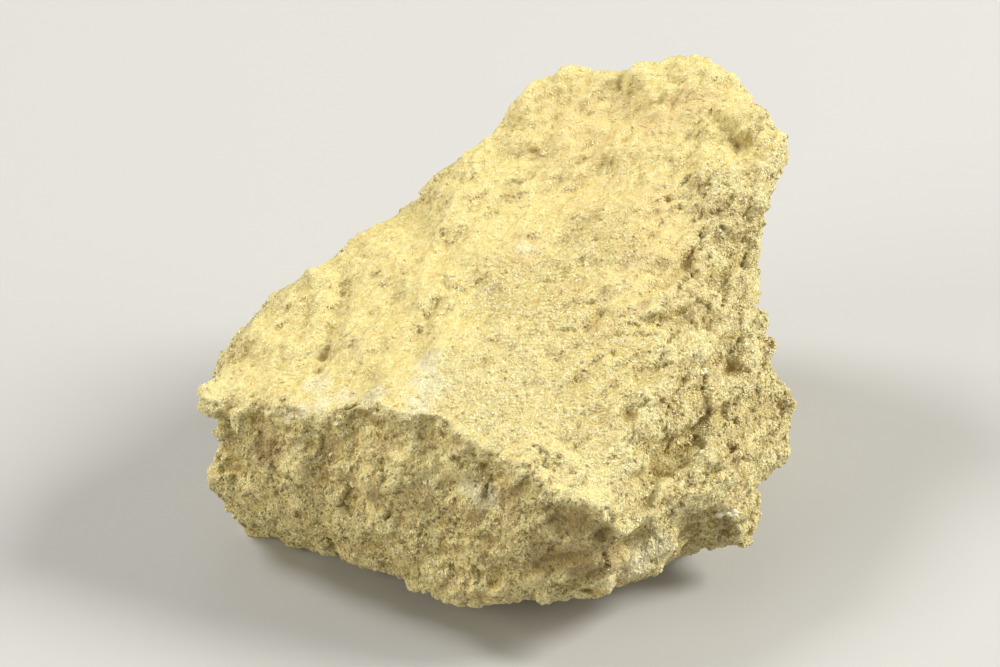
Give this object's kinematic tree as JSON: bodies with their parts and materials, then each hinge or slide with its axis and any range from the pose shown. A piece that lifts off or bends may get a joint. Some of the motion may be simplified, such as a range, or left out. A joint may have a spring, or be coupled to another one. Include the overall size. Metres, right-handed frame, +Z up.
{
  "type": "rough native sulfur chunk",
  "caption": "Rough hand-sized chunk of massive native sulfur, a mineral specimen that lies on a flat broken patch.",
  "frame": {"origin": "middle of the chunk's box, on the plane that it rests on", "axes": "+Z up, +X along the chunk's longest side to the right, +Y to the back, under the high end of its upper face"},
  "size_m": [0.0756, 0.0706, 0.0476],
  "materials": {
    "massive_sulfur": "dull, granular, pale cream-yellow with chalky white and tan patches and small pores"
  },
  "bodies": {
    "root": {"sulfur_chunk": "massive_sulfur"}
  },
  "joints": []
}
